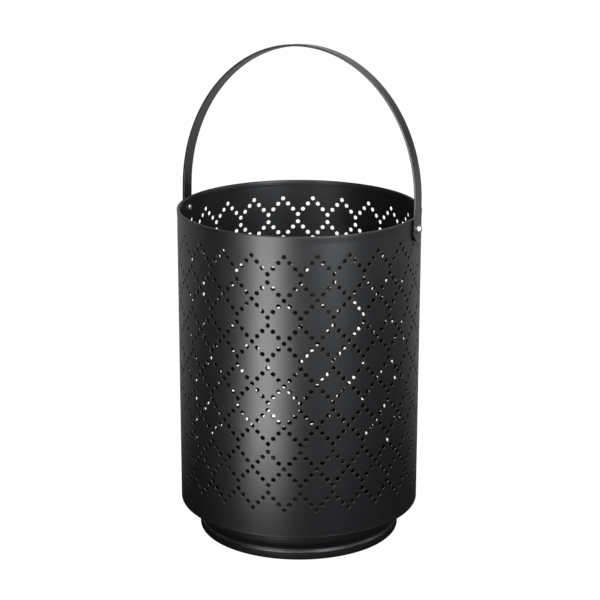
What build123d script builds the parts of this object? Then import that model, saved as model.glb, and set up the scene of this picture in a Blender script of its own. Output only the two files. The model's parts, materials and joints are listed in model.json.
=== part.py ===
from build123d import *
import math
import os

# Open-topped perforated steel cylinder on a pressed foot, with a swinging strap handle.
# Millimetres. The origin is on the floor at the middle of the foot, +Z is up, and the
# handle's pivot axis lies along X.

# --- Driving dimensions ---------------------------------------------------------------
BODY_RADIUS = 110.0          # outside of the perforated wall
BODY_HEIGHT = 304.5          # floor to the top of the rim
SHEET = 1.0                  # sheet steel of the wall and the pan

# Punched lattice: crossing zigzag lines of round holes
COLUMNS = 24                 # single-hole columns round the wall
HOLE_DIAMETER = 4.0
FIRST_ROW_DEPTH = 18.0       # top row of single holes, below the rim
ROW_PERIOD = 38.5            # from one row of single holes to the next
SINGLE_ROWS = 7
PAIR_SPLIT = 7.2             # between the two holes of a stacked pair
LANES_PER_COLUMN = 6         # the holes of one column stand on six lanes of 2.5 degrees

# Rim hem, folded inwards
HEM_FLARE = 0.3              # how far the rim stands proud of the wall
HEM_GAP = 0.8                # between the two plies
HEM_HEIGHT = 6.0             # inner ply, from the top of the fold
HEM_OVERLAP = 0.8            # the hem's outer ply over the top of the wall

# Foot
WALL_BOTTOM = 30.5           # lower edge of the wall, above the floor
PAN_UPSTAND = 10.0           # pan flange inside the wall
PAN_CLEARANCE = 0.05         # between that flange and the wall
PAN_LIP = 2.0                # folded double lip that the wall stands on
FOOT_RADIUS = 92.6           # outside of the lower foot ring
BEAD_RADIUS = 93.6           # outside of the rounded bead above it
NECK_RADIUS = 91.2           # outside of the groove and of the neck under the wall
FLOOR_HEIGHT = 5.0           # top of the pan's floor
FOOT_RING_WIDTH = 8.0        # flat ring that stands on the floor

# Handle
PIVOT_DEPTH = 10.4           # pivot axis below the rim
STRAP_WIDTH = 16.0
STRAP_THICKNESS = 2.0
STRAP_TAIL = 11.0            # strap end below the pivot
STRAIGHT_LEG = 12.0          # straight part of each leg above the rim
ARCH_TOP = 145.7             # top of the arch above the rim
HANDLE_LEAN = 2.5            # degrees that the handle rests back from upright
STRAP_CAMBER = 4.5           # degrees that the strap's face tips back over the arch

# Pivot rivets and washers
RIVET_SHANK = 4.0            # diameters
RIVET_HEAD = 8.0
RIVET_HEAD_HEIGHT = 3.5
RIVET_TAIL = 6.0
RIVET_TAIL_HEIGHT = 1.6
WASHER_DIAMETER = 7.0
PIVOT_GAP = 0.6              # between the wall and the strap
RUNNING_CLEARANCE = 0.05     # beside the strap, and round the shank in the strap
WALL_CLEARANCE = 0.05        # round the shank in the wall

# Seam
SEAM_WIDTH = 0.3
SEAM_DEPTH = 0.2
SEAM_ANGLE = 166.25          # between two lanes of holes

# --- Derived dimensions ---------------------------------------------------------------
COLUMN_STEP = 360.0 / COLUMNS
LANE_STEP = COLUMN_STEP / LANES_PER_COLUMN
LANES = COLUMNS * LANES_PER_COLUMN
WALL_INSIDE = BODY_RADIUS - SHEET
WALL_TOP = BODY_HEIGHT - HEM_HEIGHT
PIVOT_HEIGHT = BODY_HEIGHT - PIVOT_DEPTH
STRAP_INSIDE = BODY_RADIUS + PIVOT_GAP
STRAP_OUTSIDE = STRAP_INSIDE + STRAP_THICKNESS
HEM_OUTSIDE = BODY_RADIUS + HEM_FLARE
HEM_INSIDE = HEM_OUTSIDE - 2 * SHEET - HEM_GAP


def lattice_holes():
    """Angle and height of every hole of one column, 67 in all."""
    holes = []
    for row in range(SINGLE_ROWS):
        single = BODY_HEIGHT - FIRST_ROW_DEPTH - row * ROW_PERIOD
        holes.append((0.0, single))
        if row == SINGLE_ROWS - 1:
            break
        middle = single - ROW_PERIOD / 2
        for end, pair in ((single, middle + PAIR_SPLIT / 2), (single - ROW_PERIOD, middle - PAIR_SPLIT / 2)):
            holes.append((3 * LANE_STEP, pair))
            for step in (1, 2):
                height = end + (pair - end) * step / 3
                holes.append((step * LANE_STEP, height))
                holes.append((-step * LANE_STEP, height))
    return holes


def radial_pin(radius, inner, outer, angle, height):
    """A cylinder that points away from the body's axis, from inner to outer."""
    length = outer - inner
    turned = Location((0, 0, height), (0, 0, angle)) * Location(((inner + outer) / 2, 0, 0), (0, 90, 0))
    return turned * Cylinder(radius, length)


def hem():
    """The rim: the sheet's top edge folded inwards, round at the top."""
    outer_ply = HEM_OUTSIDE - SHEET / 2
    inner_ply = HEM_INSIDE + SHEET / 2
    fold = (outer_ply - inner_ply) / 2
    fold_height = BODY_HEIGHT - fold - SHEET / 2
    rise = Line((outer_ply, WALL_TOP - HEM_OVERLAP), (outer_ply, fold_height))
    turn = CenterArc((outer_ply - fold, fold_height), fold, 0, 180)
    drop = Line((inner_ply, fold_height), (inner_ply, WALL_TOP))
    profile = Plane.XZ * trace(Curve() + [rise, turn, drop], line_width=SHEET)
    return revolve(profile, Axis.Z)


def perforated_wall():
    """The rolled sheet: one narrow flat per lane of holes, so that every punched hole is round in its own flat."""
    outline = RegularPolygon(BODY_RADIUS, LANES, major_radius=False, rotation=LANE_STEP / 2)
    inline = RegularPolygon(WALL_INSIDE, LANES, major_radius=False, rotation=LANE_STEP / 2)
    sheet = Pos(0, 0, WALL_BOTTOM) * extrude(outline - inline, WALL_TOP - WALL_BOTTOM)
    inner, outer = WALL_INSIDE - SHEET, BODY_RADIUS + SHEET
    punches = []
    for column in range(COLUMNS):
        for angle, height in lattice_holes():
            punches.append(radial_pin(HOLE_DIAMETER / 2, inner, outer, angle + column * COLUMN_STEP, height))
    for angle in (0, 180):
        punches.append(radial_pin(RIVET_SHANK / 2 + WALL_CLEARANCE, inner, outer, angle, PIVOT_HEIGHT))
    sheet = sheet.cut(*punches)
    seam = Rot(0, 0, SEAM_ANGLE) * Pos(BODY_RADIUS, 0, WALL_BOTTOM) * Box(
        2 * SEAM_DEPTH, SEAM_WIDTH, WALL_TOP - HEM_OVERLAP - WALL_BOTTOM,
        align=(Align.CENTER, Align.CENTER, Align.MIN))
    return (sheet - seam) + hem()


def base_pan():
    """The pressed pan: flange in the wall, folded lip, ledge, neck, bead, groove, foot ring and raised floor."""
    half = SHEET / 2
    flange = WALL_INSIDE - PAN_CLEARANCE - half
    ledge = WALL_BOTTOM - PAN_LIP + half
    neck, bead, ring = NECK_RADIUS - half, BEAD_RADIUS - half, FOOT_RADIUS - half
    stations = [
        (flange, WALL_BOTTOM + PAN_UPSTAND),
        (flange, ledge),
        (neck, ledge),
        (neck, 26.2),
        (bead, 22.4),
        (bead, 15.4),
        (neck, 11.3),
        (neck, 9.3),
        (ring, 7.8),
        (ring, half),
        (ring - FOOT_RING_WIDTH, half),
        (ring - FOOT_RING_WIDTH - 2, FLOOR_HEIGHT - half),
        (0, FLOOR_HEIGHT - half),
    ]
    bends = [1.0, 1.6, 0.9, 7.0, 7.0, 0.7, 0.7, 0.8, 1.6, 1.2, 1.2]
    profile = Plane.XZ * trace(FilletPolyline(*stations, radius=bends), line_width=SHEET)
    lip = Pos(0, 0, WALL_BOTTOM - PAN_LIP) * (
        Cylinder(BODY_RADIUS, PAN_LIP, align=(Align.CENTER, Align.CENTER, Align.MIN))
        - Cylinder(flange, PAN_LIP, align=(Align.CENTER, Align.CENTER, Align.MIN)))
    return revolve(profile, Axis.Z) + lip


def arch_outline(half_span, top):
    """Closed outline under an arch: straight legs from below the strap ends, then half an ellipse."""
    spring = BODY_HEIGHT + STRAIGHT_LEG
    foot = PIVOT_HEIGHT - STRAP_TAIL - 1
    crown = EllipticalCenterArc((0, spring), half_span, top - spring, 0, arc_size=180)
    left_leg = Line((-half_span, spring), (-half_span, foot))
    base = Line((-half_span, foot), (half_span, foot))
    right_leg = Line((half_span, foot), (half_span, spring))
    return make_face([crown, left_leg, base, right_leg])


def handle_strap():
    """Flat strap bent to an arch, with rounded ends and a pivot hole in each leg."""
    top = BODY_HEIGHT + ARCH_TOP
    profile = Plane.XZ * (arch_outline(STRAP_OUTSIDE, top) - arch_outline(STRAP_INSIDE, top - STRAP_THICKNESS))
    camber = math.radians(STRAP_CAMBER)
    half_width = STRAP_WIDTH / 2
    strap = extrude(profile, half_width / math.cos(camber), dir=(0, math.cos(camber), -math.sin(camber)), both=True)
    foot = PIVOT_HEIGHT - STRAP_TAIL
    span = 2 * STRAP_OUTSIDE
    corners = Pos(0, 0, foot + half_width) * Box(
        span, 2 * STRAP_WIDTH, 2 * STRAP_WIDTH, align=(Align.CENTER, Align.CENTER, Align.MAX))
    rounded = Pos(0, 0, foot + half_width) * Rot(0, 90, 0) * Cylinder(half_width, span)
    bore = Pos(0, 0, PIVOT_HEIGHT) * Rot(0, 90, 0) * Cylinder(RIVET_SHANK / 2 + RUNNING_CLEARANCE, span + SHEET)
    upright = strap - (corners - rounded) - bore
    return Pos(0, 0, PIVOT_HEIGHT) * Rot(-HANDLE_LEAN, 0, 0) * Pos(0, 0, -PIVOT_HEIGHT) * upright


def dome(radius, height):
    """A shallow dome on the XY plane, the shape of a set rivet head."""
    sphere = (radius ** 2 + height ** 2) / (2 * height)
    ball = Pos(0, 0, height - sphere) * Sphere(sphere)
    return ball & Cylinder(radius, height, align=(Align.CENTER, Align.CENTER, Align.MIN))


def rivet(angle):
    """Solid rivet: domed head outside the strap, shank, and set tail inside the wall."""
    head_seat = STRAP_OUTSIDE + RUNNING_CLEARANCE
    tail_seat = WALL_INSIDE - WALL_CLEARANCE
    shank = Pos(0, 0, tail_seat) * Cylinder(
        RIVET_SHANK / 2, head_seat - tail_seat, align=(Align.CENTER, Align.CENTER, Align.MIN))
    head = Pos(0, 0, head_seat) * dome(RIVET_HEAD / 2, RIVET_HEAD_HEIGHT)
    tail = Pos(0, 0, tail_seat) * Rot(180, 0, 0) * dome(RIVET_TAIL / 2, RIVET_TAIL_HEIGHT)
    return Location((0, 0, PIVOT_HEIGHT), (0, 0, angle)) * Rot(0, 90, 0) * (shank + head + tail)


def washer(angle):
    """Plain washer that holds the strap off the wall."""
    thickness = PIVOT_GAP - RUNNING_CLEARANCE
    ring = Cylinder(WASHER_DIAMETER / 2, thickness, align=(Align.CENTER, Align.CENTER, Align.MIN)) \
        - Cylinder(RIVET_SHANK / 2 + WALL_CLEARANCE, thickness, align=(Align.CENTER, Align.CENTER, Align.MIN))
    return Location((0, 0, PIVOT_HEIGHT), (0, 0, angle)) * Rot(0, 90, 0) * Pos(0, 0, BODY_RADIUS) * ring


def build():
    """Every piece by its node name."""
    return {
        "perforated_wall": perforated_wall(),
        "base_pan": base_pan(),
        "handle_strap": handle_strap(),
        "rivet_right": rivet(0),
        "rivet_left": rivet(180),
        "washer_right": washer(0),
        "washer_left": washer(180),
    }


os.makedirs("parts", exist_ok=True)
for name, piece in build().items():
    export_step(piece, f"parts/{name}.step")
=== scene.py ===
import json
import logging
import math
from collections.abc import Callable, Iterable, Sequence
from dataclasses import dataclass, field
from enum import Enum

import bmesh
import bpy
from mathutils import Matrix, Vector


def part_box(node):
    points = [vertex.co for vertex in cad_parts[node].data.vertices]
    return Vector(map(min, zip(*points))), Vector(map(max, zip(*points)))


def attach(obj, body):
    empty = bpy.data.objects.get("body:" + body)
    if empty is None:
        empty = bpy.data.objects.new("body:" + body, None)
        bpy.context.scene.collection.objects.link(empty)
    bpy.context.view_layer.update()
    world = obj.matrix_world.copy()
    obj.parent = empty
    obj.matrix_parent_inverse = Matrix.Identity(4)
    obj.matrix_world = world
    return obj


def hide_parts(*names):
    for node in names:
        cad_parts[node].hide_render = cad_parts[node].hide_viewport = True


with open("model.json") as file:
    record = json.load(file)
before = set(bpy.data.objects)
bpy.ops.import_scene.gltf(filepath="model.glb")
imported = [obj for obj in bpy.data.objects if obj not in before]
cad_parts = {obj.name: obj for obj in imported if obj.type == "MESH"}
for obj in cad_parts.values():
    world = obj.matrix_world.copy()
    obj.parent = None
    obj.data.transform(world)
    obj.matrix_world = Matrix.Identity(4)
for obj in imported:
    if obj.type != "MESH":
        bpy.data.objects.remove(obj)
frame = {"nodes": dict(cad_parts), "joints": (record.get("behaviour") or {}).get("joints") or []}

LOG = logging.getLogger("perforated_stand")
MM = 0.001
FULL_TURN = 2 * math.pi
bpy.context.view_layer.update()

WALL_LOW, WALL_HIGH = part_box("perforated_wall")
PAN_LOW, PAN_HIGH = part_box("base_pan")
STRAP_LOW, STRAP_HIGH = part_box("handle_strap")
PIVOT = Vector(frame["joints"][0]["pos_m"])


class Side(Enum):
    """The two ends of the pivot axis."""

    RIGHT = 1
    LEFT = -1


class Slot(Enum):
    """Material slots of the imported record."""

    LACQUER = "black_lacquer"
    STEEL = "bare_steel"


# --------------------------------------------------------------------------------------
# Mesh helpers
# --------------------------------------------------------------------------------------
@dataclass(frozen=True)
class Corner:
    """One corner of a turned profile.

    Args:
        r: distance from the axis, in millimetres.
        z: height above the floor, in millimetres.
        bend: how far along each side the corner is rounded, in millimetres.
    """

    r: float
    z: float
    bend: float = 0.0


def profile_line(bm: bmesh.types.BMesh, corners: Sequence[Corner], steps: int = 4,
                 closed: bool = False) -> None:
    """Draw a profile as a polyline in the XZ half-plane and round its corners.

    Args:
        bm: the mesh to draw in.
        corners: the corners, in order.
        steps: segments of each rounded corner.
        closed: join the last corner to the first.
    """
    verts = [bm.verts.new((c.r * MM, 0.0, c.z * MM)) for c in corners]
    ends = verts[1:] + (verts[:1] if closed else [])
    for start, end in zip(verts, ends):
        bm.edges.new((start, end))
    for vert, corner in zip(verts, corners):
        if corner.bend > 0:
            bmesh.ops.bevel(bm, geom=[vert], offset=corner.bend * MM, offset_type="OFFSET", segments=steps,
                            profile=0.5, affect="VERTICES", material=-1)


def turn_profile(bm: bmesh.types.BMesh, steps: int) -> None:
    """Spin everything drawn so far a full turn about Z and close the seam and the poles.

    Args:
        bm: the mesh, holding the profile.
        steps: how many facets go round the axis.
    """
    bmesh.ops.spin(bm, geom=bm.verts[:] + bm.edges[:], cent=(0, 0, 0), axis=(0, 0, 1), angle=FULL_TURN,
                   steps=steps, use_merge=True, use_duplicate=False)
    bmesh.ops.remove_doubles(bm, verts=bm.verts, dist=0.001 * MM)
    bmesh.ops.dissolve_degenerate(bm, edges=bm.edges, dist=0.001 * MM)


def thicken(bm: bmesh.types.BMesh, thickness: float) -> None:
    """Turn a sheet drawn on its middle surface into a closed solid, half the thickness each way.

    Args:
        bm: the sheet.
        thickness: in metres.
    """
    bmesh.ops.recalc_face_normals(bm, faces=bm.faces)
    bm.normal_update()
    outer = [vert.co + vert.normal * (thickness / 2 * vert.calc_shell_factor()) for vert in bm.verts]
    for vert, place in zip(bm.verts, outer):
        vert.co = place
    bmesh.ops.solidify(bm, geom=bm.faces[:], thickness=thickness)


def finish_piece(name: str, bm: bmesh.types.BMesh, material: bpy.types.Material, body: str,
                 replaces: Iterable[str] = (), sharp_deg: float = 38.0,
                 recalculate: bool = True) -> bpy.types.Object:
    """Turn a bmesh into a finished piece that rides on its body.

    Args:
        name: the piece's name.
        bm: its mesh, in place; it is freed.
        material: its finish.
        body: the CAD body it moves with.
        replaces: CAD nodes it stands for.
        sharp_deg: edges that turn more than this stay sharp.
        recalculate: point the faces outwards first.

    Returns:
        The new object.
    """
    if recalculate:
        bmesh.ops.recalc_face_normals(bm, faces=bm.faces)
    mesh = bpy.data.meshes.new(name)
    bm.to_mesh(mesh)
    bm.free()
    mesh.shade_smooth()
    mesh.set_sharp_from_angle(angle=math.radians(sharp_deg))
    mesh.materials.append(material)
    piece = bpy.data.objects.new(name, mesh)
    bpy.context.scene.collection.objects.link(piece)
    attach(piece, body)
    for node in replaces:
        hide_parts(node)
    mesh.calc_loop_triangles()
    LOG.info("%s: %d triangles, rides on %s", name, len(mesh.loop_triangles), body)
    return piece


# --------------------------------------------------------------------------------------
# Shader building
# --------------------------------------------------------------------------------------
class NodeSheet:
    """A thin wrapper that places and links shader nodes in a tree."""

    def __init__(self, tree: bpy.types.NodeTree) -> None:
        """Keep the tree to build in."""
        self.tree = tree

    def add(self, kind: str, settings: dict[str, object] | None = None, **inputs: object) -> bpy.types.Node:
        """Add a node.

        Args:
            kind: the node's bl_idname.
            settings: properties of the node.
            **inputs: input sockets by name, with spaces as underscores, each a value or an output socket.

        Returns:
            The node.
        """
        node = self.tree.nodes.new(kind)
        for key, value in (settings or {}).items():
            setattr(node, key, value)
        for key, value in inputs.items():
            self.feed(node.inputs[key.replace("_", " ")], value)
        return node

    def feed(self, socket: bpy.types.NodeSocket, value: object) -> None:
        """Link an output socket to an input, or set the input's own value."""
        if isinstance(value, bpy.types.NodeSocket):
            self.tree.links.new(value, socket)
        else:
            socket.default_value = value

    def maths(self, operation: str, first: object, second: object = 0.0) -> bpy.types.NodeSocket:
        """Return the result of a Math node with two operands.

        Args:
            operation: the Math node's operation.
            first: the first socket or number.
            second: the second one.

        Returns:
            The result's socket.
        """
        node = self.tree.nodes.new("ShaderNodeMath")
        node.operation = operation
        self.feed(node.inputs[0], first)
        self.feed(node.inputs[1], second)
        return node.outputs[0]

    def blend(self, share: object, first: object, second: object) -> bpy.types.NodeSocket:
        """Return a colour mixed from first to second by share.

        Args:
            share: how much of the second to take, as a socket or number.
            first: the value at 0.
            second: the value at 1.

        Returns:
            The blend's socket.
        """
        node = self.tree.nodes.new("ShaderNodeMix")
        node.data_type = "RGBA"
        self.feed(node.inputs[0], share)
        self.feed(node.inputs[6], first)
        self.feed(node.inputs[7], second)
        return node.outputs[2]

    def span(self, value: object, low: float, high: float, to_low: float,
             to_high: float) -> bpy.types.NodeSocket:
        """Return value mapped from one range to another, clamped.

        Args:
            value: the socket or number to map.
            low: where the input range starts.
            high: where it ends.
            to_low: what the start becomes.
            to_high: what the end becomes.

        Returns:
            The mapped socket.
        """
        node = self.tree.nodes.new("ShaderNodeMapRange")
        for index, item in enumerate((value, low, high, to_low, to_high)):
            self.feed(node.inputs[index], item)
        return node.outputs[0]


def new_group(name: str, inputs: dict[str, float],
              outputs: Sequence[str]) -> tuple[bpy.types.NodeTree, NodeSheet]:
    """Make an empty shader node group with number sockets.

    Args:
        name: the group's name.
        inputs: its inputs and their default values.
        outputs: its outputs.

    Returns:
        The group and the sheet to build it on.
    """
    group = bpy.data.node_groups.new(name, "ShaderNodeTree")
    for label, value in inputs.items():
        socket = group.interface.new_socket(label, in_out="INPUT", socket_type="NodeSocketFloat")
        socket.default_value = value
    for label in outputs:
        group.interface.new_socket(label, in_out="OUTPUT", socket_type="NodeSocketFloat")
    return group, NodeSheet(group)


class Effects:
    """The shader node groups that the finishes share."""

    def __init__(self) -> None:
        """Build each group once."""
        self.grain = self._lacquer_grain()
        self.handling = self._handling_marks()

    @staticmethod
    def _lacquer_grain() -> bpy.types.NodeTree:
        """Sprayed lacquer: slow orange peel, a fine tooth, and a mask of the film's uneven gloss.

        Returns:
            The node group.
        """
        group, sheet = new_group("lacquer_grain",
                                 {"Peel Scale": 420.0, "Tooth Scale": 2600.0, "Tooth Share": 0.5},
                                 ("Height", "Gloss"))
        taken = sheet.add("NodeGroupInput")
        place = sheet.add("ShaderNodeTexCoord").outputs["Object"]
        peel = sheet.add("ShaderNodeTexNoise", None, Vector=place,
                         Scale=taken.outputs["Peel Scale"], Detail=2.0)
        tooth = sheet.add("ShaderNodeTexNoise", None, Vector=place,
                          Scale=taken.outputs["Tooth Scale"], Detail=3.0)
        fine = sheet.maths("MULTIPLY", tooth.outputs["Fac"], taken.outputs["Tooth Share"])
        height = sheet.maths("ADD", peel.outputs["Fac"], fine)
        slow = sheet.add("ShaderNodeTexNoise", None, Vector=place, Scale=28.0, Detail=4.0, Roughness=0.6)
        gloss = sheet.maths("ADD", sheet.maths("MULTIPLY", slow.outputs["Fac"], 0.65),
                            sheet.maths("MULTIPLY", tooth.outputs["Fac"], 0.35))
        given = sheet.add("NodeGroupOutput")
        sheet.feed(given.inputs["Height"], height)
        sheet.feed(given.inputs["Gloss"], gloss)
        return group

    @staticmethod
    def _handling_marks() -> bpy.types.NodeTree:
        """Faint hairline scuffs and settled dust, as two masks.

        Returns:
            The node group.
        """
        group, sheet = new_group("handling_marks", {"Scuffs": 0.3, "Dust": 0.3}, ("Scuff Mask", "Dust Mask"))
        taken = sheet.add("NodeGroupInput")
        place = sheet.add("ShaderNodeTexCoord").outputs["Object"]
        squeeze = sheet.add("ShaderNodeMapping", None, Vector=place, Scale=(1.0, 1.0, 7.0),
                            Rotation=(0.5, 0.35, 0.0))
        lines = sheet.add("ShaderNodeTexNoise", None, Vector=squeeze.outputs[0], Scale=90.0, Detail=6.0,
                          Roughness=0.75)
        thin = sheet.span(lines.outputs["Fac"], 0.62, 0.72, 0.0, 1.0)
        patches = sheet.add("ShaderNodeTexNoise", None, Vector=place, Scale=14.0, Detail=2.0)
        where = sheet.span(patches.outputs["Fac"], 0.5, 0.68, 0.0, 1.0)
        scuff = sheet.maths("MULTIPLY", sheet.maths("MULTIPLY", thin, where), taken.outputs["Scuffs"])
        facing = sheet.add("ShaderNodeSeparateXYZ", None,
                           Vector=sheet.add("ShaderNodeNewGeometry").outputs["Normal"])
        up = sheet.span(facing.outputs["Z"], 0.55, 1.0, 0.0, 1.0)
        speck = sheet.add("ShaderNodeTexNoise", None, Vector=place, Scale=700.0, Detail=2.0)
        specks = sheet.span(speck.outputs["Fac"], 0.45, 0.7, 0.15, 1.0)
        dust = sheet.maths("MULTIPLY", sheet.maths("MULTIPLY", up, specks), taken.outputs["Dust"])
        given = sheet.add("NodeGroupOutput")
        sheet.feed(given.inputs["Scuff Mask"], scuff)
        sheet.feed(given.inputs["Dust Mask"], dust)
        return group


@dataclass(frozen=True)
class LacquerFinish:
    """Satin black lacquer on steel.

    Args:
        name: the material's name.
        film: colour of the lacquer film.
        faded: colour where the film is thinner or scuffed.
        rough_low: roughness of its glossiest patches.
        rough_high: roughness of its dullest patches.
        peel_scale: how fine the orange peel is.
        bump: depth of the grain, in metres.
        scuffs: strength of hairline scuffs.
        dust: strength of settled dust on faces that look up.
    """

    name: str
    film: tuple[float, float, float, float] = (0.0024, 0.0024, 0.0027, 1.0)
    faded: tuple[float, float, float, float] = (0.0075, 0.0072, 0.0070, 1.0)
    rough_low: float = 0.37
    rough_high: float = 0.45
    peel_scale: float = 420.0
    bump: float = 0.000015
    scuffs: float = 0.25
    dust: float = 0.25

    def material(self, effects: Effects) -> bpy.types.Material:
        """Build the material.

        Args:
            effects: the shared node groups.

        Returns:
            The finished material.
        """
        made = bpy.data.materials.new(self.name)
        made.use_nodes = True
        made.node_tree.nodes.clear()
        sheet = NodeSheet(made.node_tree)
        grain = sheet.add("ShaderNodeGroup", {"node_tree": effects.grain}, Peel_Scale=self.peel_scale)
        marks = sheet.add("ShaderNodeGroup", {"node_tree": effects.handling},
                          Scuffs=self.scuffs, Dust=self.dust)
        scuffed = sheet.blend(marks.outputs["Scuff Mask"], self.film, self.faded)
        dusty = sheet.blend(marks.outputs["Dust Mask"], scuffed, (0.16, 0.155, 0.145, 1.0))
        rough = sheet.span(grain.outputs["Gloss"], 0.3, 0.7, self.rough_low, self.rough_high)
        dull = sheet.maths("ADD", rough, sheet.maths("MULTIPLY", marks.outputs["Dust Mask"], 0.4))
        bump = sheet.add("ShaderNodeBump", None, Strength=1.0, Distance=self.bump,
                         Height=grain.outputs["Height"])
        shader = sheet.add("ShaderNodeBsdfPrincipled", None, Base_Color=dusty, Roughness=dull,
                           Normal=bump.outputs["Normal"], IOR=1.5, Specular_IOR_Level=0.5)
        out = sheet.add("ShaderNodeOutputMaterial")
        sheet.feed(out.inputs["Surface"], shader.outputs["BSDF"])
        return made


@dataclass(frozen=True)
class SteelFinish:
    """Unpainted zinc-bright steel, with a fine grain and a darker tarnish.

    Args:
        name: the material's name.
        bright: colour of clean metal.
        tarnish: colour of the dull patches.
        roughness: roughness of clean metal.
    """

    name: str
    bright: tuple[float, float, float, float] = (0.56, 0.55, 0.53, 1.0)
    tarnish: tuple[float, float, float, float] = (0.36, 0.35, 0.33, 1.0)
    roughness: float = 0.36

    def material(self, effects: Effects) -> bpy.types.Material:
        """Build the material from the shared groups.

        Args:
            effects: the shared node groups.

        Returns:
            The material.
        """
        made = bpy.data.materials.new(self.name)
        made.use_nodes = True
        made.node_tree.nodes.clear()
        sheet = NodeSheet(made.node_tree)
        grain = sheet.add("ShaderNodeGroup", {"node_tree": effects.grain},
                          Peel_Scale=900.0, Tooth_Scale=5200.0)
        patches = sheet.span(grain.outputs["Gloss"], 0.42, 0.66, 0.0, 0.8)
        colour = sheet.blend(patches, self.bright, self.tarnish)
        rough = sheet.span(grain.outputs["Gloss"], 0.3, 0.7, self.roughness, self.roughness + 0.22)
        bump = sheet.add("ShaderNodeBump", None, Strength=1.0, Distance=0.00003,
                         Height=grain.outputs["Height"])
        shader = sheet.add("ShaderNodeBsdfPrincipled", None, Base_Color=colour, Roughness=rough, Metallic=1.0,
                           Normal=bump.outputs["Normal"])
        out = sheet.add("ShaderNodeOutputMaterial")
        sheet.feed(out.inputs["Surface"], shader.outputs["BSDF"])
        return made


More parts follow.
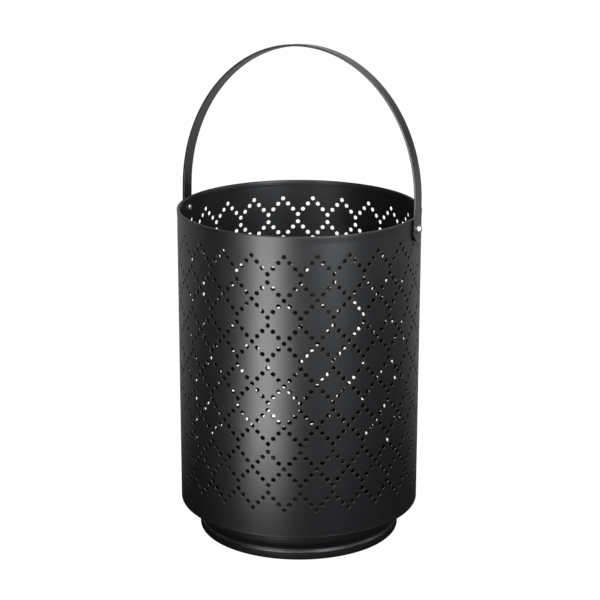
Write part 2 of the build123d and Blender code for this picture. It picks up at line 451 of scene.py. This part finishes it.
# --------------------------------------------------------------------------------------
# The object
# --------------------------------------------------------------------------------------
@dataclass
class PerforatedWall:
    """The rolled sheet with its punched lattice, hemmed rim and seam.

    Lengths are in millimetres. The wall is 144 narrow lanes of holes, each flat and 2.5 degrees wide.
    """

    radius: float = 110.0
    sheet: float = 1.0
    rim: float = WALL_HIGH.z / MM
    bottom: float = WALL_LOW.z / MM
    columns: int = 24
    lanes_per_column: int = 6
    hole: float = 4.0
    hole_steps: int = 14
    hole_ease: float = 0.2
    first_row: float = 18.0
    row_period: float = 38.5
    single_rows: int = 7
    pair_split: float = 7.2
    lane_rows: int = 54
    hem_height: float = 6.0
    hem_join: float = 6.8
    hem_outside: float = WALL_HIGH.x / MM
    hem_gap: float = 0.8
    seam_deg: float = 166.25
    seam_width: float = 0.3
    seam_depth: float = 0.2

    @property
    def lane_angle(self) -> float:
        """Width of one lane, in radians."""
        return FULL_TURN / (self.columns * self.lanes_per_column)

    def lane_heights(self, offset: int) -> list[float]:
        """Heights of the holes on a lane, by its distance from the single-hole lane.

        Args:
            offset: how many lanes away it is.

        Returns:
            The heights, in millimetres.
        """
        heights: list[float] = []
        for row in range(self.single_rows):
            single = self.rim - self.first_row - row * self.row_period
            if offset == 0:
                heights.append(single)
            elif row < self.single_rows - 1:
                middle = single - self.row_period / 2
                for end, pair in ((single, middle + self.pair_split / 2),
                                  (single - self.row_period, middle - self.pair_split / 2)):
                    heights.append(end + (pair - end) * offset / 3)
        return heights

    def _lane_sheet(self, bm: bmesh.types.BMesh, distance: float, rings: list[bmesh.types.BMEdge]) -> None:
        """Fill one face of a lane, at a distance from the axis, round its hole rings.

        Args:
            bm: the mesh.
            distance: the face's distance from the axis, in millimetres.
            rings: the edges of its holes, already at that distance.
        """
        half = distance * math.tan(self.lane_angle / 2) * MM
        top = (self.rim - self.hem_join) * MM
        low = self.bottom * MM
        place = (Matrix.Translation((0, -distance * MM, (top + low) / 2))
                 @ Matrix.Rotation(math.pi / 2, 4, "X"))
        grid = bmesh.ops.create_grid(bm, x_segments=1, y_segments=self.lane_rows, size=0.5,
                                     matrix=place @ Matrix.Diagonal((2 * half, top - low, 1, 1)))
        inner = [e for e in {e for v in grid["verts"] for e in v.link_edges} if not e.is_boundary]
        edges = {e for v in grid["verts"] for e in v.link_edges if e.is_boundary}
        bmesh.ops.delete(bm, geom=inner, context="EDGES")
        bmesh.ops.triangle_fill(bm, edges=list(edges) + rings, use_beauty=True, use_dissolve=False,
                                normal=(0, -1, 0))

    def _lane(self, offset: int) -> bpy.types.Mesh:
        """Build one lane facing -Y: outer sheet, hole walls, inner sheet.

        Args:
            offset: its distance from the single-hole lane.

        Returns:
            The lane's mesh.
        """
        bm = bmesh.new()
        outer_rings: list[bmesh.types.BMEdge] = []
        inner_rings: list[bmesh.types.BMEdge] = []
        wide = self.hole / 2 + self.hole_ease
        for height in self.lane_heights(offset):
            centre = Vector((0, -self.radius, height)) * MM
            place = Matrix.Translation(centre) @ Matrix.Rotation(math.pi / 2, 4, "X")
            ring = bmesh.ops.create_circle(bm, cap_ends=False, segments=self.hole_steps, radius=wide * MM,
                                           matrix=place)
            edges = list({e for v in ring["verts"] for e in v.link_edges})
            outer_rings += edges
            for depth, shrink in ((self.hole_ease, self.hole / 2 / wide), (self.sheet - self.hole_ease, 1.0)):
                pushed = bmesh.ops.extrude_edge_only(bm, edges=edges)["geom"]
                verts = [g for g in pushed if isinstance(g, bmesh.types.BMVert)]
                edges = [g for g in pushed
                         if isinstance(g, bmesh.types.BMEdge) and set(g.verts) <= set(verts)]
                bmesh.ops.scale(bm, verts=verts, vec=(shrink, 1, shrink), space=Matrix.Translation(-centre))
                bmesh.ops.translate(bm, verts=verts, vec=(0, depth * MM, 0))
            inner_rings += edges
        self._lane_sheet(bm, self.radius, outer_rings)
        self._lane_sheet(bm, self.radius - self.sheet, inner_rings)
        mesh = bpy.data.meshes.new(f"lane_{offset}")
        bm.to_mesh(mesh)
        bm.free()
        return mesh

    def _column(self, bm: bmesh.types.BMesh) -> None:
        """Place the six lanes of the first column, with the single holes on +X.

        Args:
            bm: the mesh to add to.
        """
        lanes = [self._lane(offset) for offset in range(4)]
        for step in range(-2, 4):
            before = len(bm.verts)
            bm.from_mesh(lanes[abs(step)])
            bm.verts.ensure_lookup_table()
            bmesh.ops.rotate(bm, verts=bm.verts[before:], cent=(0, 0, 0),
                             matrix=Matrix.Rotation(math.pi / 2 + step * self.lane_angle, 3, "Z"))
        for mesh in lanes:
            bpy.data.meshes.remove(mesh)

    def _edge_rings(self, bm: bmesh.types.BMesh) -> None:
        """Add the hemmed rim and the wall's lower edge, each a profile spun over the lanes' corners.

        Args:
            bm: the mesh to add to.
        """
        corner = 1 / math.cos(self.lane_angle / 2)
        outer, inner = self.radius * corner, (self.radius - self.sheet) * corner
        join = self.rim - self.hem_join
        fold = (2 * self.sheet + self.hem_gap) / 2
        gap = self.hem_gap / 2
        middle = self.hem_outside - fold
        tuck = self.rim - self.hem_height
        rim = [
            Corner(outer, join),
            Corner(self.hem_outside, join + 4.5, 1.5),
            Corner(self.hem_outside, self.rim, fold * 0.99),
            Corner(middle - fold, self.rim, fold * 0.99),
            Corner(middle - fold, tuck, 0.25),
            Corner(middle - gap, tuck, 0.25),
            Corner(middle - gap, self.rim - self.sheet, gap * 0.98),
            Corner(middle + gap, self.rim - self.sheet, gap * 0.98),
            Corner(middle + gap, join + 1.0),
            Corner(inner, join + 0.5),
            Corner(inner, join),
        ]
        low = [Corner(outer, self.bottom), Corner(inner, self.bottom)]
        for corners in (rim, low):
            part = bmesh.new()
            profile_line(part, corners, steps=5)
            bmesh.ops.rotate(part, verts=part.verts, cent=(0, 0, 0),
                             matrix=Matrix.Rotation(self.lane_angle / 2, 3, "Z"))
            turn_profile(part, self.columns * self.lanes_per_column)
            mesh = bpy.data.meshes.new("ring")
            part.to_mesh(mesh)
            part.free()
            bm.from_mesh(mesh)
            bpy.data.meshes.remove(mesh)

    def _cut_seam(self, bm: bmesh.types.BMesh) -> None:
        """Press a fine groove along the butt seam, from the wall's foot over the rim.

        Args:
            bm: the wall.
        """
        angle = math.radians(self.seam_deg)
        across = Vector((-math.sin(angle), math.cos(angle), 0))
        out = Vector((math.cos(angle), math.sin(angle), 0))
        limit = (self.radius - self.sheet / 2) * MM

        def on_seam(vert: bmesh.types.BMVert) -> bool:
            """Tell whether a vertex lies on the seam, outside the wall or on the rim's fold."""
            outside = vert.co.dot(out) > limit or vert.co.z > (self.rim - 1.2) * MM
            return outside and abs(vert.co.dot(across)) < 0.01 * MM and vert.co.dot(out) > 0

        edges = [e for e in bm.edges if all(on_seam(v) for v in e.verts)]
        bmesh.ops.bevel(bm, geom=edges, offset=self.seam_width / 2 * MM, offset_type="OFFSET", segments=2,
                        profile=0.5, affect="EDGES", material=-1)
        bm.normal_update()
        for vert in bm.verts:
            if on_seam(vert):
                vert.co -= vert.normal * self.seam_depth * MM

    def _radial_shading(self, mesh: bpy.types.Mesh) -> None:
        """Shade the lanes as the true cylinder that they follow.

        Args:
            mesh: the finished wall mesh.
        """
        radii = (self.radius * MM, (self.radius - self.sheet) * MM)
        band_top = (self.rim - self.hem_join + 0.1) * MM
        reach = 0.05 * MM
        normals = [Vector((0, 0, 0))] * len(mesh.loops)
        angle = math.radians(self.seam_deg)
        across = Vector((-math.sin(angle), math.cos(angle), 0))
        for face in mesh.polygons:
            points = [mesh.vertices[i].co for i in face.vertices]
            if any(p.z > band_top or abs(p.dot(across)) < self.seam_width * MM and p.x < 0 for p in points):
                continue
            for sign, radius in zip((1, -1), radii):
                if all(abs(p.xy.length - radius) < reach for p in points) and abs(face.normal.z) < 0.2:
                    for loop in face.loop_indices:
                        flat = mesh.vertices[mesh.loops[loop].vertex_index].co.xy.normalized()
                        normals[loop] = Vector((sign * flat.x, sign * flat.y, 0))
        mesh.normals_split_custom_set([tuple(n) for n in normals])

    def build(self, lacquer: bpy.types.Material) -> bpy.types.Object:
        """Build the wall.

        Args:
            lacquer: its finish.

        Returns:
            The piece.
        """
        bm = bmesh.new()
        self._column(bm)
        turns = self.columns - 1
        bmesh.ops.spin(bm, geom=bm.verts[:] + bm.edges[:] + bm.faces[:], cent=(0, 0, 0), axis=(0, 0, 1),
                       angle=FULL_TURN * turns / self.columns, steps=turns, use_merge=False,
                       use_duplicate=True)
        self._edge_rings(bm)
        bmesh.ops.remove_doubles(bm, verts=bm.verts, dist=0.004 * MM)
        bmesh.ops.recalc_face_normals(bm, faces=bm.faces)
        self._cut_seam(bm)
        piece = finish_piece("perforated_wall_sheet", bm, lacquer, "stand",
                             replaces=["perforated_wall"])
        self._radial_shading(piece.data)
        return piece


@dataclass
class BasePan:
    """The pressed pan: flange, folded lip, ledge, neck, bead, groove, foot ring and raised floor."""

    sheet: float = 1.0
    steps: int = 144
    bend_steps: int = 5
    flange: float = 108.45
    flange_top: float = PAN_HIGH.z / MM
    lip_outside: float = PAN_HIGH.x / MM
    lip_top: float = WALL_LOW.z / MM
    lip_low: float = WALL_LOW.z / MM - 2.0
    neck: float = 90.7
    bead: float = 93.1
    ring: float = 92.1
    ring_width: float = 8.0
    floor: float = 4.5

    def _pressing(self) -> list[Corner]:
        """The middle line of the pressed sheet, from the flange's edge to the floor's centre.

        Returns:
            The corners, from the outside inwards.
        """
        half = self.sheet / 2
        ledge = self.lip_low + half
        return [
            Corner(self.flange, self.flange_top),
            Corner(self.flange, ledge, 1.0),
            Corner(self.neck, ledge, 1.6),
            Corner(self.neck, 26.2, 0.3),
            Corner(self.bead, 22.4, 2.0),
            Corner(self.bead, 15.4, 2.0),
            Corner(self.neck, 11.3, 0.4),
            Corner(self.neck, 9.3, 0.4),
            Corner(self.ring, 7.8, 0.8),
            Corner(self.ring, half, 1.6),
            Corner(self.ring - self.ring_width, half, 1.2),
            Corner(self.ring - self.ring_width - 2, self.floor, 1.2),
            Corner(60.0, self.floor),
            Corner(30.0, self.floor),
            Corner(0.0, self.floor),
        ]

    def _lip(self) -> list[Corner]:
        """The folded lip under the wall's edge, as a closed outline."""
        inside = self.flange + self.sheet / 4
        return [
            Corner(self.lip_outside, self.lip_top, 0.12),
            Corner(inside, self.lip_top),
            Corner(inside, self.lip_low),
            Corner(self.lip_outside, self.lip_low, 0.6),
        ]

    def build(self, lacquer: bpy.types.Material) -> bpy.types.Object:
        """Build the pan in its finish.

        Args:
            lacquer: the finish that it gets.

        Returns:
            The piece's object.
        """
        bm = bmesh.new()
        profile_line(bm, self._pressing(), steps=self.bend_steps)
        turn_profile(bm, self.steps)
        thicken(bm, self.sheet * MM)
        lip = bmesh.new()
        profile_line(lip, self._lip(), steps=3, closed=True)
        turn_profile(lip, self.steps)
        ring = bpy.data.meshes.new("lip")
        lip.to_mesh(ring)
        lip.free()
        bm.from_mesh(ring)
        bpy.data.meshes.remove(ring)
        return finish_piece("base_pan_pressing", bm, lacquer, "stand", replaces=["base_pan"])


@dataclass
class HandleStrap:
    """The flat strap, bent to half an ellipse on two straight legs."""

    width: float = 16.0
    thickness: float = 2.0
    outside: float = STRAP_HIGH.x / MM
    top: float = WALL_HIGH.z / MM + 145.7
    foot: float = PIVOT.z / MM - 11.0
    spring: float = WALL_HIGH.z / MM + 12.0
    pivot: float = PIVOT.z / MM
    lean_deg: float = 2.5
    camber_deg: float = 4.5
    hole: float = 4.1
    edge: float = 0.3
    arch_steps: int = 96

    def _arch_point(self, turn: float, offset: float) -> Vector:
        """A point of the arch, offset outwards from the strap's middle.

        Args:
            turn: the ellipse's parameter, 0 at the right spring and pi at the left one.
            offset: distance outwards, in millimetres.

        Returns:
            The point in the XZ plane, in millimetres.
        """
        span = self.outside - self.thickness / 2 + offset
        rise = self.top - self.spring - self.thickness / 2 + offset
        return Vector((span * math.cos(turn), 0, self.spring + rise * math.sin(turn)))

    def build(self, lacquer: bpy.types.Material) -> bpy.types.Object:
        """Build the strap in its finish.

        Args:
            lacquer: the finish that it gets.

        Returns:
            The piece's object.
        """
        bm = bmesh.new()
        half = self.width / 2 * MM
        stations = [math.pi * i / self.arch_steps for i in range(self.arch_steps + 1)]
        low = self.pivot * MM + half
        middle = self.outside - self.thickness / 2
        points = [Vector((middle * MM, 0, low))]
        points += [self._arch_point(t, 0.0) * MM for t in stations]
        points += [Vector((-middle * MM, 0, low))]
        verts = [bm.verts.new(p - Vector((0, half, 0))) for p in points]
        edges = [bm.edges.new(pair) for pair in zip(verts, verts[1:])]
        wide = bmesh.ops.extrude_edge_only(bm, edges=edges)
        bmesh.ops.translate(bm, verts=[g for g in wide["geom"] if isinstance(g, bmesh.types.BMVert)],
                            vec=(0, 2 * half, 0))
        for side in Side:
            self._eye(bm, side, low)
        bmesh.ops.remove_doubles(bm, verts=bm.verts, dist=0.005 * MM)
        self._thicken(bm)
        self._camber(bm)
        bmesh.ops.rotate(bm, verts=bm.verts, cent=PIVOT,
                         matrix=Matrix.Rotation(-math.radians(self.lean_deg), 3, "X"))
        return finish_piece("handle_strap_arch", bm, lacquer, "handle",
                            replaces=["handle_strap"], sharp_deg=8.0)

    def _eye(self, bm: bmesh.types.BMesh, side: Side, low: float) -> None:
        """Add one rounded strap end with its pivot hole.

        Args:
            bm: the mesh to add to.
            side: which end of the strap.
            low: height where the eye meets the leg, in metres.
        """
        x = side.value * (self.outside - self.thickness / 2) * MM
        half = self.width / 2 * MM
        centre = self.foot * MM + half
        outline = [bm.verts.new((x, half, low)), bm.verts.new((x, half, centre))]
        turned = bmesh.ops.spin(bm, geom=outline[-1:], cent=(x, 0, centre), axis=(1, 0, 0), angle=-math.pi,
                                steps=32, use_merge=False, use_duplicate=False)
        last = [g for g in turned["geom_last"] if isinstance(g, bmesh.types.BMVert)][0]
        corner = bm.verts.new((x, -half, low))
        border = {e for v in bm.verts for e in v.link_edges if e.is_wire and abs(v.co.x - x) < 0.01 * MM
                  and v.co.z < low}
        border |= {bm.edges.new(outline), bm.edges.new((last, corner)), bm.edges.new((corner, outline[0]))}
        place = Matrix.Translation((x, 0, self.pivot * MM)) @ Matrix.Rotation(math.pi / 2, 4, "Y")
        ring = bmesh.ops.create_circle(bm, cap_ends=False, segments=48, radius=self.hole / 2 * MM,
                                       matrix=place)
        hole = {e for v in ring["verts"] for e in v.link_edges}
        bmesh.ops.triangle_fill(bm, edges=list(border | hole), use_beauty=True, use_dissolve=False,
                                normal=(side.value, 0, 0))

    def _camber(self, bm: bmesh.types.BMesh) -> None:
        """Tip the strap's face back above the spring, so that its front edge stands higher.

        Args:
            bm: the solid strap, upright.
        """
        slope = math.tan(math.radians(self.camber_deg))
        for vert in bm.verts:
            if vert.co.z > (self.spring - 4.0) * MM:
                vert.co.z -= vert.co.y * slope

    def _thicken(self, bm: bmesh.types.BMesh) -> None:
        """Give the strap its thickness and ease its long edges.

        Args:
            bm: the strap as a sheet.
        """
        thicken(bm, self.thickness * MM)
        rims = [e for e in bm.edges if len(e.link_faces) == 2 and e.calc_face_angle() > math.radians(60)]
        bmesh.ops.bevel(bm, geom=rims, offset=self.edge * MM, offset_type="OFFSET", segments=3, profile=0.5,
                        affect="EDGES", material=-1)


@dataclass
class PivotRivet:
    """A set rivet: domed head outside the strap, shank, and domed tail inside the wall."""

    side: Side
    steps: int = 40
    shank: float = 2.0
    head: float = 4.0
    tail: float = 3.0

    def _profile(self, low: float, high: float) -> list[Corner]:
        """The rivet's outline from the tail's pole to the head's pole, along its own axis."""
        tail_seat, head_seat = low + 1.6, high - 3.5
        return [
            Corner(0.0, low),
            Corner(1.5, low + 0.05, 0.5),
            Corner(self.tail - 0.25, low + 0.75, 0.5),
            Corner(self.tail, tail_seat, 0.12),
            Corner(self.shank, tail_seat, 0.1),
            Corner(self.shank, head_seat, 0.1),
            Corner(self.head, head_seat, 0.15),
            Corner(self.head - 0.2, head_seat + 1.1, 0.5),
            Corner(self.head - 1.3, high - 0.35, 0.7),
            Corner(0.9, high - 0.02, 0.4),
            Corner(0.0, high - 0.06),
        ]

    def build(self, steel: bpy.types.Material) -> bpy.types.Object:
        """Build the rivet and lay it on the pivot axis.

        Args:
            steel: the finish that it gets.

        Returns:
            The piece's object.
        """
        node = f"rivet_{self.side.name.lower()}"
        low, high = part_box(node)
        near, far = sorted((abs(low.x) / MM, abs(high.x) / MM))
        bm = bmesh.new()
        profile_line(bm, self._profile(near, far), steps=3)
        turn_profile(bm, self.steps)
        turn = Matrix.Translation((0, 0, PIVOT.z)) @ Matrix.Rotation(self.side.value * math.pi / 2, 4, "Y")
        bmesh.ops.transform(bm, matrix=turn, verts=bm.verts)
        return finish_piece(f"{node}_set", bm, steel, "stand", replaces=[node], sharp_deg=30.0)


@dataclass
class SpacerWasher:
    """The plain washer that holds the strap off the wall: the CAD node, lacquered."""

    side: Side

    def dress(self, lacquer: bpy.types.Material) -> bpy.types.Object:
        """Give the CAD node its finish.

        Args:
            lacquer: the lacquer that it is finished in.

        Returns:
            The node's object.
        """
        piece = frame["nodes"][f"washer_{self.side.name.lower()}"]
        piece.data.materials.clear()
        piece.data.materials.append(lacquer)
        LOG.info("%s: kept from the frame", piece.name)
        return piece


# --------------------------------------------------------------------------------------
# The studio
# --------------------------------------------------------------------------------------
@dataclass(frozen=True)
class SoftBox:
    """A rectangular studio light.

    Args:
        name: its name.
        azimuth: direction it stands in, in degrees from the camera's side, to the right.
        height: its centre's height, in metres.
        distance: from the object's axis, in metres.
        width: in metres.
        tall: in metres.
        glow: how bright its face is, in watts for each square metre.
        tint: its colour.
        aim: height of the point on the axis that it faces, in metres.
    """

    name: str
    azimuth: float
    height: float
    distance: float
    width: float
    tall: float
    glow: float
    tint: tuple[float, float, float] = (1.0, 1.0, 1.0)
    aim: float = 0.2


@dataclass
class Studio:
    """Camera, floor, sky and lights."""

    azimuth: float = 21.8
    elevation: float = 16.39
    distance: float = 1.716
    aim_height: float = 0.2168
    aim_side: float = 0.0007
    roll_deg: float = 0.1
    lens: float = 112.73
    sky_front: float = 0.05
    sky_back: float = 1.0
    # The floor as everything but the camera sees it: a near-black colour, which is painted shade, and the
    # strength of a painted glow behind the object.
    floor_shade: float = 0.02
    floor_painted_glow: float = 0.5
    boxes: list[SoftBox] = field(default_factory=lambda: [
        SoftBox("key_strip", -26.0, 0.40, 0.50, 0.15, 0.86, 34.0, (1.0, 1.0, 1.0), 0.66),
        SoftBox("fill_strip", 30.0, 0.58, 0.85, 0.24, 0.8, 71.0, (0.90, 0.95, 1.0)),
        SoftBox("top_box", 20.0, 1.6, 0.4, 1.0, 1.0, 10.0),
        SoftBox("left_rim", -100.0, 0.5, 1.2, 0.4, 1.0, 1.2, (1.0, 0.93, 0.84)),
        SoftBox("right_rim", 85.0, 0.6, 1.2, 0.4, 0.9, 13.0),
    ])

    def _direction(self, azimuth: float, elevation: float) -> Vector:
        """Unit vector from the object towards an azimuth and elevation, in degrees."""
        a, e = math.radians(azimuth), math.radians(elevation)
        return Vector((math.sin(a) * math.cos(e), -math.cos(a) * math.cos(e), math.sin(e)))

    def camera(self) -> bpy.types.Object:
        """Place the camera.

        Returns:
            The camera.
        """
        back = self._direction(self.azimuth, self.elevation)
        right = Vector((0, 0, 1)).cross(back).normalized()
        aim = Vector((0, 0, self.aim_height)) + right * self.aim_side
        data = bpy.data.cameras.new("camera")
        data.lens = self.lens
        data.sensor_width = 36.0
        data.clip_start, data.clip_end = 0.05, 50.0
        made = bpy.data.objects.new("camera", data)
        made.location = Vector((0, 0, self.aim_height)) + back * self.distance
        look = (aim - made.location).to_track_quat("-Z", "Y").to_matrix().to_4x4()
        roll = Matrix.Rotation(math.radians(self.roll_deg), 4, "Z")
        made.matrix_world = Matrix.Translation(made.location) @ look @ roll
        bpy.context.scene.collection.objects.link(made)
        bpy.context.scene.camera = made
        return made

    def sky(self) -> None:
        """White to the camera; to everything else dark on the camera's side and pale behind the object."""
        world = bpy.data.worlds.new("studio_sky")
        bpy.context.scene.world = world
        world.use_nodes = True
        world.node_tree.nodes.clear()
        sheet = NodeSheet(world.node_tree)
        seen = sheet.add("ShaderNodeLightPath").outputs["Is Camera Ray"]
        place = sheet.add("ShaderNodeTexCoord").outputs["Generated"]
        behind = self._behind(sheet, place, 0.78, 0.93)
        strength = sheet.span(behind, 0.0, 1.0, self.sky_front, self.sky_back)
        dim = sheet.add("ShaderNodeBackground", None, Color=(0.96, 0.98, 1.0, 1.0), Strength=strength)
        bright = sheet.add("ShaderNodeBackground", None, Color=(1.0, 1.0, 1.0, 1.0), Strength=1.2)
        mix = sheet.add("ShaderNodeMixShader", None, Fac=seen)
        sheet.feed(mix.inputs[1], dim.outputs[0])
        sheet.feed(mix.inputs[2], bright.outputs[0])
        out = sheet.add("ShaderNodeOutputWorld")
        sheet.feed(out.inputs["Surface"], mix.outputs[0])

    def _behind(self, sheet: NodeSheet, place: bpy.types.NodeSocket, near: float,
                far: float) -> bpy.types.NodeSocket:
        """Return a mask that grows from near to far, measured away from the camera over the floor.

        Args:
            sheet: where to build.
            place: a position or direction.
            near: where the mask is 0.
            far: where it is 1.

        Returns:
            The mask.
        """
        away = self._direction(self.azimuth + 180.0, 0.0)
        along = sheet.add("ShaderNodeVectorMath", {"operation": "DOT_PRODUCT"})
        sheet.feed(along.inputs[0], place)
        sheet.feed(along.inputs[1], tuple(away))
        return sheet.span(along.outputs["Value"], near, far, 0.0, 1.0)

    def floor(self) -> bpy.types.Object:
        """A wide floor, flat white to the camera; to everything else a near-black card, which is painted
        shade, with a painted glow behind the object that stands in for a pale table's light.

        Returns:
            The floor's object.
        """
        bm = bmesh.new()
        bmesh.ops.create_circle(bm, cap_ends=True, segments=96, radius=8.0)
        mesh = bpy.data.meshes.new("floor")
        bm.to_mesh(mesh)
        bm.free()
        made = bpy.data.materials.new("floor_white_painted_glow")
        made.use_nodes = True
        made.node_tree.nodes.clear()
        sheet = NodeSheet(made.node_tree)
        # The camera sees flat white; every other ray sees a near-black card (painted shade) plus a painted
        # glow behind the object, an emission on a floor that is no lamp.
        seen = sheet.add("ShaderNodeLightPath").outputs["Is Camera Ray"]
        card = sheet.add("ShaderNodeBsdfDiffuse", None, Color=(self.floor_shade,) * 3 + (1.0,))
        place = sheet.add("ShaderNodeTexCoord").outputs["Object"]
        # Painted glow: emission strength that grows behind the object, away from the camera.
        lit = sheet.maths("MULTIPLY", self._behind(sheet, place, 0.05, 0.5), self.floor_painted_glow)
        glow = sheet.add("ShaderNodeEmission", None, Color=(1.0, 1.0, 1.0, 1.0), Strength=lit)
        both = sheet.add("ShaderNodeAddShader")
        sheet.feed(both.inputs[0], card.outputs[0])
        sheet.feed(both.inputs[1], glow.outputs[0])
        white = sheet.add("ShaderNodeEmission", None, Color=(1.0, 1.0, 1.0, 1.0), Strength=1.05)
        mix = sheet.add("ShaderNodeMixShader", None, Fac=seen)
        sheet.feed(mix.inputs[1], both.outputs[0])
        sheet.feed(mix.inputs[2], white.outputs[0])
        out = sheet.add("ShaderNodeOutputMaterial")
        sheet.feed(out.inputs["Surface"], mix.outputs[0])
        mesh.materials.append(made)
        piece = bpy.data.objects.new("floor", mesh)
        piece.location.z = -0.0002
        bpy.context.scene.collection.objects.link(piece)
        return piece

    def light(self, box: SoftBox) -> bpy.types.Object:
        """Hang one soft box, facing the object's middle.

        Args:
            box: what to hang.

        Returns:
            The light's object.
        """
        data = bpy.data.lights.new(box.name, "AREA")
        data.shape = "RECTANGLE"
        data.size, data.size_y = box.width, box.tall
        data.energy = box.glow * box.width * box.tall
        data.color = box.tint
        made = bpy.data.objects.new(box.name, data)
        place = self._direction(self.azimuth + box.azimuth, 0.0) * box.distance
        place.z = box.height
        made.location = place
        made.rotation_euler = (Vector((0, 0, box.aim)) - place).to_track_quat("-Z", "Y").to_euler()
        made.visible_camera = False
        bpy.context.scene.collection.objects.link(made)
        return made

    def build(self) -> None:
        """Set up everything."""
        self.camera()
        self.sky()
        self.floor()
        for box in self.boxes:
            self.light(box)
        bpy.context.scene.view_settings.view_transform = "Standard"
        LOG.info("studio: %d lights", len(self.boxes))


def main() -> None:
    """Build every piece in order and report each one."""
    logging.basicConfig(level=logging.INFO, format="%(message)s")
    Studio().build()
    effects = Effects()
    lacquer = LacquerFinish("satin_black_lacquer").material(effects)
    strap_lacquer = LacquerFinish("strap_black_lacquer", rough_low=0.33, rough_high=0.40, bump=0.000006,
                                  scuffs=0.15, dust=0.1).material(effects)
    steel = SteelFinish("bright_rivet_steel").material(effects)
    PerforatedWall().build(lacquer)
    BasePan().build(lacquer)
    HandleStrap().build(strap_lacquer)
    for side in Side:
        PivotRivet(side).build(steel)
        SpacerWasher(side).dress(lacquer)


if __name__ == "__main__":
    main()
